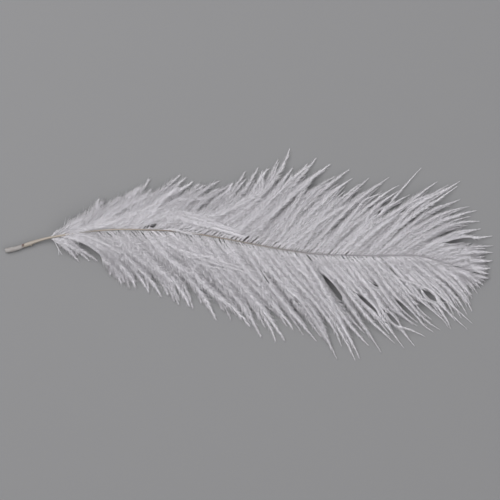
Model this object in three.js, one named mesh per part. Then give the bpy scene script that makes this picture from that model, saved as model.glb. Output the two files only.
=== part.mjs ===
// An ostrich plume lying on a flat surface, in millimetres, with +Z up.
//
// The shaft runs along X, from the root of the quill at -X to the tip at +X. The left vane spreads to
// +Y and the right vane to -Y. The shaft arches a little off the surface, and the soft barbs of both
// vanes droop from it until their tips lie on the surface. The origin is under the middle of the box.
import * as THREE from 'three';

// ---- Driving dimensions ----

const CLEARANCE = 0.3;       // gap left between pieces that touch
const QUILL_START = -123.3;  // x where the quill begins, inside the sheath

const SHEATH = {
  start: -124.98,
  length: 9.1,
  outerRadius: 1.27,
  mouthRadius: 1.08,
  wall: 0.2,
  endCap: 0.9,
};

const VANE = {
  rootThickness: 1.0,
  tipThickness: 1.4,
  crown: 3.6,          // how far the upper side bulges over a straight fall from shaft to tip
  touchdown: 0.86,     // where along a barb its underside meets the surface
  undersideCurve: 1.5,
  splitSharpness: 1.2,
  bow: 0.36,           // length of a barb's end tangents, as a share of its chord
  rows: 7,
};

const SHAFT_SIDES = 12;
const SHAFT_STEPS = 44;
const SHAFT_CROWDING = 1.35;  // above 1, the steps are closer together at the quill
const SHEATH_SIDES = 16;

// ---- The shaft's stations: x, then y, z of the centre line, then radius ----

const SHAFT_STATIONS = [
  [-125, 2.0, 1.28, 0.55],
  [-122.5, 2.4, 1.28, 0.55],
  [-120, 2.9, 1.3, 0.55],
  [-116.5, 4.0, 1.4, 0.56],
  [-114.8, 4.6, 1.5, 0.93],
  [-111, 6.0, 1.9, 0.86],
  [-107, 7.3, 2.4, 0.74],
  [-102, 8.6, 3.1, 0.63],
  [-97, 9.5, 3.8, 0.55],
  [-85, 11.4, 5.2, 0.44],
  [-71, 12.6, 6.6, 0.38],
  [-50, 12.5, 8.0, 0.35],
  [-37, 11.8, 8.6, 0.34],
  [-15, 8.5, 9.0, 0.32],
  [10, 3.8, 9.0, 0.3],
  [34, 0.3, 8.4, 0.28],
  [50, -0.4, 7.6, 0.26],
  [67, -0.7, 6.5, 0.23],
  [78, -0.4, 5.6, 0.21],
  [87, -0.9, 4.8, 0.2],
  [95, -3.1, 4.0, 0.18],
  [106, -6.9, 2.9, 0.17],
  [118, -10.5, 1.8, 0.15],
  [123, -11.5, 1.4, 0.15],
];

// ---- The tufts that each vane's edge is made of, from the base of the feather to its tip ----
//
// Each row: x where the tuft leaves the shaft, then x, y of its tip, then how far in degrees it leans
// off the shaft's direction at the root and at the tip, then the depth of the split after it.

const LEFT_TUFTS = [
  [-101, -96.5, 12.5, 42, 40, 0.05],
  [-99, -88, 19.5, 42, 40, 0.05],
  [-97, -82, 23, 42, 45, 0.06],
  [-94.5, -75.5, 29, 42, 52, 0.12],
  [-90, -73.5, 28, 40, 45, 0.06],
  [-84.5, -65, 30.5, 40, 35, 0.05],
  [-81, -60, 32.5, 40, 45, 0.1],
  [-77.5, -56, 34.5, 40, 50, 0.1],
  [-73.5, -50, 39, 38, 58, 0.18],
  [-69, -49, 34, 38, 55, 0.16],
  [-65.5, -41.5, 35, 36, 38, 0.05],
  [-61.5, -34.5, 41, 36, 40, 0.08],
  [-57.5, -31.5, 40, 36, 42, 0.08],
  [-53.5, -28, 38, 35, 42, 0.1],
  [-49.5, -24.5, 37, 34, 38, 0.14],
  [-43, -14.5, 38.5, 33, 25, 0.1],
  [-37, -7.5, 37.5, 33, 30, 0.18],
  [-32, -1, 43, 35, 58, 0.18],
  [-27.5, 5.5, 45, 37, 55, 0.18],
  [-23, 10.5, 44.5, 38, 48, 0.12],
  [-20, 16, 48.5, 40, 70, 0.16],
  [-16.5, 21.5, 54.5, 42, 75, 0.26],
  [-11.5, 23, 44.5, 42, 52, 0.16],
  [-5, 35, 50, 42, 52, 0.12],
  [0.5, 42, 47, 42, 36, 0.22],
  [6.5, 44.5, 40.5, 42, 25, 0.1],
  [12.5, 51.5, 44, 43, 32, 0.12],
  [17, 53, 40, 44, 25, 0.16],
  [23.5, 62, 39.5, 45, 38, 0.14],
  [30, 72, 40, 46, 32, 0.14],
  [36, 77, 36, 46, 25, 0.18],
  [44, 82.5, 31, 46, 25, 0.16],
  [51.5, 96.5, 37.5, 46, 35, 0.2],
  [56.5, 102.5, 36, 46, 25, 0.16],
  [62, 108, 38, 46, 38, 0.18],
  [66, 108.5, 28.5, 46, 25, 0.22],
  [70, 113, 25, 45, 12, 0.16],
  [74, 116.5, 23, 45, 10, 0.26],
  [79, 118.5, 17.5, 44, -2, 0.46],
  [84, 119, 13.5, 42, 12, 0.3],
  [88, 125, 9, 40, 8, 0.42],
  [92.5, 125, 5, 38, 5, 0.18],
  [97.5, 125, 1, 34, 3, 0.2],
  [102.5, 125, -3, 30, 3, 0.14],
  [108, 124, -7, 26, 0, 0.12],
  [113, 123.5, -10, 20, -5, 0.1],
];

const RIGHT_TUFTS = [
  [-94, -71.5, -11, 18, 80, 0.04],
  [-90.5, -71, -13, 26, 80, 0.12],
  [-86.5, -66, -14, 34, 68, 0.08],
  [-83.5, -63, -15, 40, 62, 0.1],
  [-80.5, -60.5, -17.5, 45, 75, 0.08],
  [-78, -57, -16.5, 47, 58, 0.1],
  [-74.5, -50.5, -20.5, 50, 62, 0.12],
  [-70.5, -44.5, -22.5, 52, 60, 0.12],
  [-66, -40, -21, 53, 58, 0.1],
  [-63, -34.5, -26.5, 54, 65, 0.12],
  [-59.5, -30.5, -27.5, 55, 72, 0.14],
  [-56, -28, -28.5, 56, 75, 0.2],
  [-51, -20.5, -28, 57, 58, 0.14],
  [-46.5, -16, -34, 57, 55, 0.2],
  [-41.5, -9, -34, 58, 62, 0.18],
  [-35.5, 1, -37.5, 58, 55, 0.18],
  [-30.5, 6.5, -42.5, 59, 65, 0.22],
  [-25, 14, -45, 60, 75, 0.14],
  [-21.5, 18.5, -44.5, 60, 60, 0.2],
  [-16, 22.5, -37.5, 60, 42, 0.16],
  [-10, 28, -42, 60, 62, 0.14],
  [-3.5, 35, -44.5, 59, 50, 0.12],
  [1.5, 40.5, -45.5, 58, 60, 0.12],
  [6.5, 45, -54, 58, 68, 0.2],
  [11, 47.5, -47.5, 57, 75, 0.12],
  [15.5, 54.5, -54.5, 56, 65, 0.12],
  [20, 57, -54, 55, 68, 0.2],
  [25, 61.5, -47, 54, 45, 0.12],
  [30, 68, -50.5, 52, 60, 0.2],
  [36, 75, -46, 50, 42, 0.16],
  [41.5, 79.5, -48.5, 50, 52, 0.2],
  [47.5, 85.5, -47, 48, 48, 0.2],
  [52.5, 90, -42.5, 46, 32, 0.16],
  [57.5, 94.5, -40.5, 45, 28, 0.22],
  [62.5, 98, -39, 45, 25, 0.2],
  [67, 102.5, -38, 44, 25, 0.46],
  [72, 103.5, -38.5, 44, 75, 0.2],
  [76, 112, -38, 42, 40, 0.18],
  [80, 113, -35.5, 42, 45, 0.14],
  [84.5, 115, -29, 40, 45, 0.12],
  [88.5, 115.5, -24.5, 40, 48, 0.16],
  [93, 116.5, -21.5, 40, 50, 0.22],
  [97.5, 120, -20, 38, 30, 0.14],
  [102, 120.5, -17, 38, 30, 0.18],
  [107.5, 121.5, -14.5, 32, 25, 0.12],
  [113, 123.5, -12.5, 26, 15, 0.08],
];

const RIGHT_BASE_TUFTS = [
  [-101, -94, 1.5, 52, 48, 0.05],
  [-100, -86.5, -4, 48, 48, 0.15],
  [-98.5, -81, -3.5, 42, 30, 0.18],
  [-97, -77, -3.5, 36, 30, 0.15],
];

// ---- Finishes ----

const QUILL_FINISH = { color: 0xb8ae9e, roughness: 0.45, metalness: 0 };
const SHEATH_FINISH = { color: 0xc9c7c3, roughness: 0.85, metalness: 0 };
const DOWN_FINISH = { color: 0xdcdae0, roughness: 0.95, metalness: 0 };

// ---- Lines ----

/** A smooth curve through rows of numbers, looked up by their first column. */
function stationCurve(rows) {
  const positions = rows.map((row) => row[0]);
  const samples = rows.flatMap((row) => row.slice(1));
  return new THREE.CubicInterpolant(positions, samples, rows[0].length - 1);
}

const shaftCurve = stationCurve(SHAFT_STATIONS);

/** The shaft at x: a point on its centre line, and its radius there. */
function shaftAt(x) {
  const [y, z, radius] = shaftCurve.evaluate(x);
  return { point: new THREE.Vector3(x, y, z), radius };
}

/** The direction of the shaft at x. */
function shaftDirection(x) {
  const step = 0.1;
  return shaftAt(x + step).point.sub(shaftAt(x - step).point).normalize();
}

/** Bends a geometry of revolution, whose own axis is Y and equals x on the shaft, along the shaft. */
function bendAlongShaft(geometry) {
  const position = geometry.getAttribute('position');
  const up = new THREE.Vector3(0, 0, 1);
  for (let i = 0; i < position.count; i += 1) {
    const x = position.getY(i);
    const along = shaftDirection(x);
    const side = new THREE.Vector3().crossVectors(along, up).normalize();
    const above = new THREE.Vector3().crossVectors(side, along);
    const { point } = shaftAt(x);
    point.addScaledVector(side, position.getX(i)).addScaledVector(above, position.getZ(i));
    position.setXYZ(i, point.x, point.y, point.z);
  }
  return geometry;
}

// ---- Pieces of revolution ----

/** The quill and the rachis: one tapering stem, closed at both ends. */
function buildShaft() {
  const last = SHAFT_STATIONS.at(-1)[0];
  const profile = [new THREE.Vector2(0, QUILL_START)];
  for (let i = 0; i <= SHAFT_STEPS; i += 1) {
    const x = THREE.MathUtils.lerp(QUILL_START, last, (i / SHAFT_STEPS) ** SHAFT_CROWDING);
    profile.push(new THREE.Vector2(shaftAt(x).radius, x));
  }
  profile.push(new THREE.Vector2(0, last));
  return bendAlongShaft(new THREE.LatheGeometry(profile, SHAFT_SIDES));
}

/** The dry skin round the root: a cup whose blunt end is closed and whose mouth the quill leaves. */
function buildRootSheath() {
  const { start: end, length, outerRadius, mouthRadius, wall, endCap } = SHEATH;
  const mouth = end + length;
  const profile = [
    new THREE.Vector2(0, end),
    new THREE.Vector2(outerRadius * 0.72, end + 0.12),
    new THREE.Vector2(outerRadius * 0.95, end + 0.5),
    new THREE.Vector2(outerRadius, end + 1.4),
    new THREE.Vector2(mouthRadius, mouth),
    new THREE.Vector2(mouthRadius - wall, mouth),
    new THREE.Vector2(outerRadius - wall, end + endCap + 0.5),
    new THREE.Vector2(0, end + endCap),
  ];
  return bendAlongShaft(new THREE.LatheGeometry(profile, SHEATH_SIDES));
}

// ---- Vanes ----

/** The middle line of a barb, seen from above: a Bezier curve from the shaft to its tip. */
function barbLine(root, tip, rootLean, tipLean, side) {
  const reach = root.distanceTo(tip) * VANE.bow;
  const ray = (lean) => new THREE.Vector2(Math.cos(lean), side * Math.sin(lean)).multiplyScalar(reach);
  const afterRoot = root.clone().add(ray(THREE.MathUtils.degToRad(rootLean)));
  const beforeTip = tip.clone().sub(ray(THREE.MathUtils.degToRad(tipLean)));
  return new THREE.CubicBezierCurve(root, afterRoot, beforeTip, tip);
}

/** How far out the vane reaches at a place between tufts: less in the split after each tuft. */
function reachAt(place, tufts) {
  const index = Math.min(Math.floor(place), tufts.length - 1);
  const split = tufts[index].at(-1);
  const awayFromTuft = Math.abs(place - Math.round(place)) * 2;
  return 1 - split * awayFromTuft ** VANE.splitSharpness;
}

/** Lower and upper side of the vane, a share of the way along a barb that leaves the shaft at shaftZ. */
function vaneSides(share, shaftZ) {
  const half = VANE.rootThickness / 2;
  const fall = Math.max(0, 1 - (share / VANE.touchdown) ** VANE.undersideCurve);
  const straight = THREE.MathUtils.lerp(shaftZ + half, VANE.tipThickness, share);
  return [(shaftZ - half) * fall, straight + VANE.crown * 4 * share * (1 - share)];
}

/**
 * One vane as a closed slab. The slab's grid follows the barbs: its columns go from tuft to tuft and
 * from split to split, and its rows go from the shaft out to the edge.
 */
function buildVane(tufts, side) {
  const tuftCurve = new THREE.LinearInterpolant(tufts.map((_, i) => i), tufts.flat(), tufts[0].length);
  const columns = (tufts.length - 1) * 2;
  const geometry = new THREE.BoxGeometry(1, 1, 1, columns, VANE.rows, 1);
  const position = geometry.getAttribute('position');
  for (let i = 0; i < position.count; i += 1) {
    const across = position.getX(i) * side + 0.5;
    const outward = position.getY(i) + 0.5;
    const place = across * (tufts.length - 1);
    const [rootX, tipX, tipY, rootLean, tipLean] = tuftCurve.evaluate(place);
    const { point, radius } = shaftAt(rootX);
    const root = new THREE.Vector2(rootX, point.y + side * (radius + CLEARANCE));
    const line = barbLine(root, new THREE.Vector2(tipX, tipY), rootLean, tipLean, side);
    const share = outward * reachAt(place, tufts);
    const spot = line.getPoint(share);
    const [low, high] = vaneSides(share, point.z);
    position.setXYZ(i, spot.x, spot.y, position.getZ(i) > 0 ? high : low);
  }
  return geometry;
}

// ---- The feather ----

const feather = new THREE.Group();

/** Adds one named piece to the feather. */
function addPiece(name, geometry, finish) {
  const piece = new THREE.Mesh(geometry, new THREE.MeshStandardMaterial(finish));
  piece.name = name;
  feather.add(piece);
}

addPiece('shaft', buildShaft(), QUILL_FINISH);
addPiece('root_sheath', buildRootSheath(), SHEATH_FINISH);
addPiece('left_vane', buildVane(LEFT_TUFTS, 1), DOWN_FINISH);
addPiece('right_vane', buildVane(RIGHT_TUFTS, -1), DOWN_FINISH);
addPiece('right_base_down', buildVane(RIGHT_BASE_TUFTS, -1), DOWN_FINISH);

export default feather;
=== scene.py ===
"""The looks of a loose ostrich plume: a quill with its dry root skin and two vanes of soft barbs.

The feather lies on the surface z = 0, its shaft along X from the quill at -X to the tip at +X, with
the left vane on +Y and the right vane on -Y. Tables are in millimetres and everything else is in
metres. A barb is a thin stem, its ramus, with hair-like barbules along both of its sides.
"""

import logging
import math
from dataclasses import dataclass
from enum import Enum

import bmesh
import bpy
import numpy as np
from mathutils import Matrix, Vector, noise


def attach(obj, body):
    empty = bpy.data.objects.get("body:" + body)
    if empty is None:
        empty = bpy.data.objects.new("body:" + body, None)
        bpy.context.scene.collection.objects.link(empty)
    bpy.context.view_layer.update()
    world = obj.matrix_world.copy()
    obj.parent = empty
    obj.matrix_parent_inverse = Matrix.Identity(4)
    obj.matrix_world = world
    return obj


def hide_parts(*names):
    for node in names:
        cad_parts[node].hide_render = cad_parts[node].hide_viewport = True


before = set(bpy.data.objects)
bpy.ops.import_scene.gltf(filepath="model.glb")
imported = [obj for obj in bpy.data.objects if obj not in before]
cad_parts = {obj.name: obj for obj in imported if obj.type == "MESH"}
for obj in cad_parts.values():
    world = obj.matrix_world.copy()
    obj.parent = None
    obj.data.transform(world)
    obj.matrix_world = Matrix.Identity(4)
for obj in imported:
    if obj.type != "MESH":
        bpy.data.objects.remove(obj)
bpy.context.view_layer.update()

log = logging.getLogger("ostrich_plume")

MM = 0.001
SEED = 298
FIRST_DOWN_SEED = 10

# The attributes of a mesh: light or dark, and how far the shaft has gone over to its aged colour.
TONE = "tone"
AGE = "age"

# Points of a spun shape that lie closer together than this are joined.
WELD = 1e-7
# Added before a sign is read, so that nothing is on neither side.
TIE = 1e-9

# Where the fluff is gone, and the length of shaft over which it comes to its full strength.
FLUFF_END = 50 * MM
FLUFF_OVER = 130 * MM

# How many points a barb has, how many places along the shaft are read to space the barbs or to lay
# strays on it, and the stretch of it that strays can lie on, in millimetres.
LINE_POINTS = 40
LADDER_STEPS = 400
STEM_UNDER_STRAYS = (-102.0, 120.0)

UP = np.array([0.0, 0.0, 1.0])
# The four faces of a barbule between its base, its two sides and its tip.
SPIKE_FACES = ((0, 2, 1), (3, 1, 2), (0, 1, 3), (0, 3, 2))

Array = np.ndarray
Row = tuple[float, ...]
Table = tuple[Row, ...]
Range = tuple[float, float]
# The value that a sleek barb has, and what full fluff adds to it.
ByFluff = tuple[float, float]
Stray = tuple[float, float, Table]
Colour = tuple[float, float, float]


class Side(Enum):
    """Which side of the shaft a vane grows on, as the sign of its Y."""

    LEFT = 1
    RIGHT = -1


# ---- Outlines, in millimetres ----

# Stations along the shaft: x, then y, z of the centre line, then radius.
SHAFT_Y, SHAFT_Z, SHAFT_RADIUS = 1, 2, 3
SHAFT_STATIONS: Table = (
    (-125, 2.0, 1.28, 0.55),
    (-122.5, 2.4, 1.28, 0.55),
    (-120, 2.9, 1.3, 0.55),
    (-116.5, 4.0, 1.4, 0.56),
    (-114.8, 4.6, 1.5, 0.93),
    (-111, 6.0, 1.9, 0.86),
    (-107, 7.3, 2.4, 0.74),
    (-102, 8.6, 3.1, 0.63),
    (-97, 9.5, 3.8, 0.55),
    (-85, 11.4, 5.2, 0.44),
    (-71, 12.6, 6.6, 0.38),
    (-50, 12.5, 8.0, 0.35),
    (-37, 11.8, 8.6, 0.34),
    (-15, 8.5, 9.0, 0.32),
    (10, 3.8, 9.0, 0.3),
    (34, 0.3, 8.4, 0.28),
    (50, -0.4, 7.6, 0.25),
    (67, -0.7, 6.5, 0.23),
    (78, -0.4, 5.6, 0.21),
    (87, -0.9, 4.8, 0.2),
    (95, -3.1, 4.0, 0.18),
    (106, -6.9, 2.9, 0.17),
    (118, -10.5, 1.8, 0.15),
    (123, -11.5, 1.4, 0.15),
)

# The shaft's tone: x, then the tone there, from 0 (dark) to 1 (light).
# Painted light: at x = -92 and -84 the tones are raised to brighten the rachis where the barbs round it
# shade it.
SHAFT_TONES: Table = (
    (-126, 0.7),
    (-112, 0.76),
    (-100, 0.84),
    (-92, 0.95),
    (-84, 1.0),
    (-60, 0.86),
    (-46, 0.46),
    (-30, 0.7),
    (20, 0.84),
    (60, 0.84),
    (124, 0.85),
)

# The outside of the root skin, from its closed end to its mouth: x, then radius.
SKIN_STATIONS: Table = (
    (-125, 0.0),
    (-124.85, 0.78),
    (-124.5, 1.14),
    (-123.6, 1.27),
    (-121, 1.24),
    (-118, 1.14),
    (-116.5, 1.04),
    (-115.7, 1.08),
)

# Tufts of a vane, from the base of the feather to its tip: x where the tuft leaves the shaft, x, y of
# its tip, its lean off the shaft at the root and at the tip in degrees, depth of the split after it.
TUFT_ROOT, TUFT_X, TUFT_Y, TUFT_ROOT_LEAN, TUFT_TIP_LEAN, TUFT_SPLIT = range(6)
LEFT_TUFTS: Table = (
    (-101.5, -96.5, 12.5, 38, 40, 0.05),
    (-100.5, -88, 19.5, 34, 40, 0.05),
    (-99.5, -82, 23, 32, 45, 0.2),
    (-98.5, -75.5, 29, 30, 52, 0.26),
    (-95.5, -73.5, 28, 28, 45, 0.2),
    (-90.5, -65, 30.5, 26, 35, 0.19),
    (-87.5, -60, 32.5, 26, 45, 0.24),
    (-85, -56, 34.5, 26, 50, 0.24),
    (-82.5, -50, 39, 26, 58, 0.32),
    (-78, -49, 34, 26, 55, 0.3),
    (-72.5, -41.5, 35, 27, 38, 0.19),
    (-69.5, -34.5, 41, 28, 40, 0.22),
    (-66, -31.5, 40, 29, 42, 0.22),
    (-61, -28, 38, 30, 42, 0.24),
    (-56.5, -24.5, 37, 30, 38, 0.28),
    (-50, -14.5, 38.5, 31, 25, 0.24),
    (-42.5, -7.5, 37.5, 32, 30, 0.32),
    (-38.5, -1, 43, 33, 58, 0.32),
    (-34, 5.5, 45, 34, 55, 0.24),
    (-29.5, 10.5, 44.5, 35, 48, 0.18),
    (-25.5, 16, 48.5, 36, 70, 0.22),
    (-21.5, 21.5, 54.5, 38, 75, 0.26),
    (-16.5, 23, 44.5, 38, 52, 0.16),
    (-9, 35, 50, 40, 52, 0.12),
    (-3.5, 42, 47, 41, 36, 0.14),
    (3.5, 44.5, 40.5, 42, 25, 0.1),
    (9.5, 51.5, 44, 43, 32, 0.12),
    (14.5, 53, 40, 44, 32, 0.08),
    (21, 62, 39.5, 45, 38, 0.14),
    (28, 72, 40, 46, 32, 0.14),
    (35, 77, 36, 46, 25, 0.18),
    (43, 82.5, 31, 46, 25, 0.16),
    (51, 96.5, 37.5, 46, 35, 0.2),
    (56.5, 102.5, 36, 46, 25, 0.16),
    (62, 108, 38, 46, 38, 0.18),
    (66, 108.5, 28.5, 46, 25, 0.22),
    (70, 113, 25, 45, 12, 0.16),
    (74, 116.5, 23, 45, 10, 0.26),
    (79, 118.5, 17.5, 44, -2, 0.46),
    (84, 119, 13.5, 42, 12, 0.3),
    (88, 125, 9, 40, 8, 0.42),
    (92.5, 125, 5, 38, 5, 0.18),
    (97.5, 125, 1, 34, 3, 0.2),
    (102.5, 125, -3, 30, 3, 0.14),
    (108, 124, -7, 26, 0, 0.12),
    (113, 123.5, -10, 20, -5, 0.1),
)
RIGHT_TUFTS: Table = (
    (-98.4, -68, -8.5, -4, 84, 0.04),
    (-95, -67.5, -12.5, 4, 84, 0.14),
    (-93.5, -65, -14, 16, 80, 0.16),
    (-91.5, -63, -15, 28, 74, 0.12),
    (-89, -60.5, -17.5, 36, 76, 0.12),
    (-86, -57, -17.5, 42, 72, 0.15),
    (-81, -50.5, -20.5, 45, 70, 0.2),
    (-76, -44.5, -22.5, 47, 68, 0.18),
    (-71.5, -40, -21.5, 48, 66, 0.14),
    (-68, -34.5, -26.5, 50, 68, 0.2),
    (-65, -30.5, -27.5, 50, 72, 0.18),
    (-62, -28, -28.5, 52, 75, 0.25),
    (-57.5, -20.5, -28, 52, 66, 0.18),
    (-53, -16, -34, 54, 66, 0.26),
    (-47, -9, -34, 54, 66, 0.22),
    (-40.5, 1, -37.5, 55, 62, 0.22),
    (-35.5, 6.5, -42.5, 56, 66, 0.28),
    (-29.5, 14, -45, 57, 70, 0.26),
    (-24, 18.5, -44.5, 57, 60, 0.2),
    (-17.5, 22.5, -37.5, 57, 46, 0.16),
    (-11.5, 28, -42, 57, 60, 0.14),
    (-4.5, 35, -44.5, 57, 52, 0.12),
    (1, 40.5, -45.5, 57, 60, 0.12),
    (6, 45, -54, 57, 66, 0.26),
    (10.5, 47.5, -47.5, 56, 72, 0.12),
    (15.5, 54.5, -54.5, 55, 64, 0.12),
    (20, 57, -54, 54, 66, 0.3),
    (25, 61.5, -47, 53, 46, 0.12),
    (30, 68, -50.5, 52, 58, 0.3),
    (36, 75, -46, 50, 44, 0.16),
    (41.5, 79.5, -48.5, 50, 52, 0.3),
    (47.5, 85.5, -47, 48, 48, 0.26),
    (52.5, 90, -42.5, 46, 34, 0.16),
    (57.5, 94.5, -40.5, 45, 30, 0.2),
    (62.5, 98, -39, 45, 28, 0.2),
    (67.5, 102.5, -38, 44, 36, 0.2),
    (71, 103.5, -38.5, 44, 62, 0.25),
    (74, 106, -34.5, 44, 56, 0.12),
    (77.5, 109, -33, 44, 60, 0.1),
    (81, 112, -31.5, 44, 62, 0.08),
    (84.5, 114.5, -29.5, 43, 62, 0.1),
    (88, 114, -26, 42, 60, 0.08),
    (92, 114.5, -23, 41, 58, 0.08),
    (96, 117.5, -20.5, 40, 54, 0.1),
    (100, 119, -18, 38, 48, 0.1),
    (104, 120.5, -16, 36, 40, 0.1),
    (108.5, 121.5, -14.5, 32, 28, 0.1),
    (113.5, 123.5, -12.5, 26, 15, 0.08),
)
RIGHT_BASE_TUFTS: Table = (
    (-101.5, -90, 0, 38, 50, 0.3),
    (-100.5, -85.8, -4.6, 38, 50, 0.4),
    (-99.5, -80.6, -4.2, 34, 44, 0.4),
    (-98, -76.2, -4.2, 30, 40, 0.4),
)

# Barbs that stray over the others: x of the root, fullness, then the x, y of the points they pass.
LEFT_STRAYS: tuple[Stray, ...] = (
    (-93.5, 0.6, ((-88, 12.0), (-80, 14.8), (-70, 19.5))),
    (-92.5, 0.6, ((-86.5, 12.8), (-77, 14.8), (-64, 19.5))),
    (-88, 0.9, ((-76.5, 16.5), (-65, 23.5), (-53, 30))),
    (-78, 0.9, ((-65, 18.5), (-51, 24), (-37.5, 33))),
    (-64, 0.6, ((-48.5, 22.5), (-36.5, 27.5), (-22.5, 28))),
    (-60, 0.55, ((-43, 21), (-20, 20), (6.5, 28))),
    (-58, 0.55, ((-48, 22), (-30, 19), (-8, 12.5))),
    (-55, 0.5, ((-46.5, 20.5), (-28, 17), (-5, 10))),
    (-52, 0.45, ((-44, 18.8), (-25, 15.5), (-2, 8.8))),
    (-45, 0.3, ((-40, 12.8), (-33, 12.0), (-25, 10.6))),
    (46, 0.55, ((57, 11), (71, 24.5), (87, 42.5))),
)
RIGHT_STRAYS: tuple[Stray, ...] = (
    (-98, 0.6, ((-91, 8.6), (-83, 5.5), (-74, -1))),
    (-97, 0.6, ((-90, 9.4), (-82, 7.5), (-71, 0.5))),
    (-96, 0.4, ((-89, 10.6), (-81, 8.6), (-66, 1.5))),
    (-50, 0.55, ((-40, 5), (-31, 1), (-18, -2))),
    (-47, 0.55, ((-37, 4), (-24, -3), (-8, -10))),
    (-42, 0.45, ((-30, 3.5), (-14, -4), (5.5, -10.7))),
    (57.5, 0.5, ((76, -12), (89, -16.8), (96.5, -22.5), (101, -32))),
    (64, 0.5, ((75, -12.5), (84, -20.5), (93, -24.2), (104, -24.4))),
    (72, 0.5, ((86, -13.5), (100, -26.5), (112, -38))),
    (77, 0.5, ((91, -14.5), (104, -26.5), (113, -35.5))),
)
BASE_STRAYS: tuple[Stray, ...] = (
    (-100.5, 0.16, ((-98.6, 5.2), (-97.3, 2.8), (-97.2, 0.2))),
    (-100.4, 0.16, ((-98.5, 5.1), (-97.2, 2.8), (-95.4, 0.4))),
)

# Places where the barbs stand apart: x, y of the middle, half length, half width, heading in degrees,
# and the side on which the vane's barbs pass: 1 is the left, -1 the right and 0 is whichever is nearer.
PARTING_WIDTH, PARTING_SIDE = 3, 5
LEFT_PARTINGS: Table = (
    (-48.7, 14.8, 2.0, 1.25, 15, 0),
    (-51.6, 14.0, 1.5, 0.4, 50, 0),
    (-53.1, 13.9, 1.3, 0.3, 52, 0),
    (-1, 8.7, 2.6, 0.45, 38, 0),
    (10.5, 10, 1, 0.3, 30, 0),
    (66.5, 21.5, 2.6, 0.6, 45, 0),
    (70.5, 26.5, 2.6, 0.5, 20, 0),
    (79.5, 23, 2.5, 0.5, 38, 0),
    (107, 7.2, 7.8, 0.9, 9, 0),
)
BASE_PARTINGS: Table = ((-79.5, 1.3, 7.6, 0.8, -34, -1),)
RIGHT_PARTINGS: Table = (
    (-79.5, 1.3, 7.6, 0.8, -34, 1),
    (9, -13, 5, 0.3, -55, 0),
    (25, -25, 2.8, 0.6, -42, 0),
    (31.2, -2.3, 2.9, 0.4, -50, 0),
    (40.7, -23.8, 2.4, 0.35, -46, 0),
    (43.4, -17.6, 8.2, 1.05, -50, 0),
    (60, -24.6, 8.5, 0.8, -41, 0),
    (64, -15.6, 3.6, 0.7, -36, 0),
    (73, -33, 6, 1.0, -46, 0),
    (81.5, -29.5, 8.5, 1.0, -43, 0),
    (92, -20.9, 4.8, 1.4, -38, 0),
    (93.5, -31.3, 9.5, 1.5, -35, 0),
)

# Barbules along a barb, from its root to its tip: share of the barb, then their length and width, both
# in millimetres, and their lean off the barb in degrees.
BARBULE_LENGTH, BARBULE_WIDTH, BARBULE_LEAN = 1, 2, 3
SLEEK_BARBULES: Table = (
    (0, 4.2, 0.16, 28),
    (0.5, 4.2, 0.15, 25),
    (0.72, 3.5, 0.13, 22),
    (0.88, 1.9, 0.1, 15),
    (1, 0.8, 0.06, 8),
)
FLUFFY_BARBULES: Table = (
    (0, 6.2, 0.15, 27),
    (0.6, 6.2, 0.14, 26),
    (0.8, 5.0, 0.12, 22),
    (0.93, 3.8, 0.095, 14),
    (1, 2.6, 0.07, 8),
)


# ---- Numbers along a line ----


def smooth_lookup(x: Array, knots: Array, values: Array) -> Array:
    """Read a smooth curve through known values.

    Args:
        x: Where to read it.
        knots: Rising positions of the known values.
        values: The known values.

    Returns:
        The curve's value at each x, held level past both ends.
    """
    slopes = np.gradient(values, knots)
    left = np.clip(np.searchsorted(knots, x) - 1, 0, len(knots) - 2)
    gap = knots[left + 1] - knots[left]
    t = np.clip((x - knots[left]) / gap, 0, 1)
    start = (1 + 2 * t) * (1 - t) ** 2 * values[left] + t * (1 - t) ** 2 * gap * slopes[left]
    end = t * t * (3 - 2 * t) * values[left + 1] + t * t * (t - 1) * gap * slopes[left + 1]
    return start + end


def smooth_step(t: Array) -> Array:
    """Ease from 0 to 1 as t goes from 0 to 1."""
    t = np.clip(t, 0, 1)
    return t * t * (3 - 2 * t)


def smooth_out(values: Array, axis: int, times: int) -> None:
    """Smooth values along one axis, in place, with both ends held.

    Args:
        values: The values.
        axis: The axis along which neighbours are averaged.
        times: How often.
    """
    line = np.moveaxis(values, axis, 0)
    for _ in range(times):
        line[1:-1] = (line[:-2] + 2 * line[1:-1] + line[2:]) / 4


def unit(vectors: Array) -> Array:
    """Scale vectors to length 1."""
    return vectors / np.maximum(np.linalg.norm(vectors, axis=-1, keepdims=True), 1e-12)


@dataclass(frozen=True)
class ShaftLine:
    """The curve that the quill and the rachis follow, through stations in millimetres."""

    stations: Table = SHAFT_STATIONS

    def column(self, x: Array, index: int) -> Array:
        """Read one column of the stations, in metres, at places x in metres."""
        table = np.array(self.stations) * MM
        return smooth_lookup(np.asarray(x, float), table[:, 0], table[:, index])

    def centre(self, x: Array) -> Array:
        """Give the points of the centre line at x."""
        x = np.asarray(x, float)
        return np.stack([x, self.column(x, SHAFT_Y), self.column(x, SHAFT_Z)], axis=-1)

    def radius(self, x: Array) -> Array:
        """Give the shaft's radius at x."""
        return self.column(x, SHAFT_RADIUS)

    def bend(self, local: Array) -> Array:
        """Bend points that lie round a straight X axis so that they lie round the shaft.

        Args:
            local: Points whose x is the place along the shaft and whose y, z are off its axis.

        Returns:
            The same points round the curved shaft.
        """
        step = 0.1 * MM
        along = unit(self.centre(local[:, 0] + step) - self.centre(local[:, 0] - step))
        across = unit(np.cross(UP, along))
        above = np.cross(along, across)
        return self.centre(local[:, 0]) + across * local[:, 1:2] + above * local[:, 2:3]


# ---- Node groups and finishes ----


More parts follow.
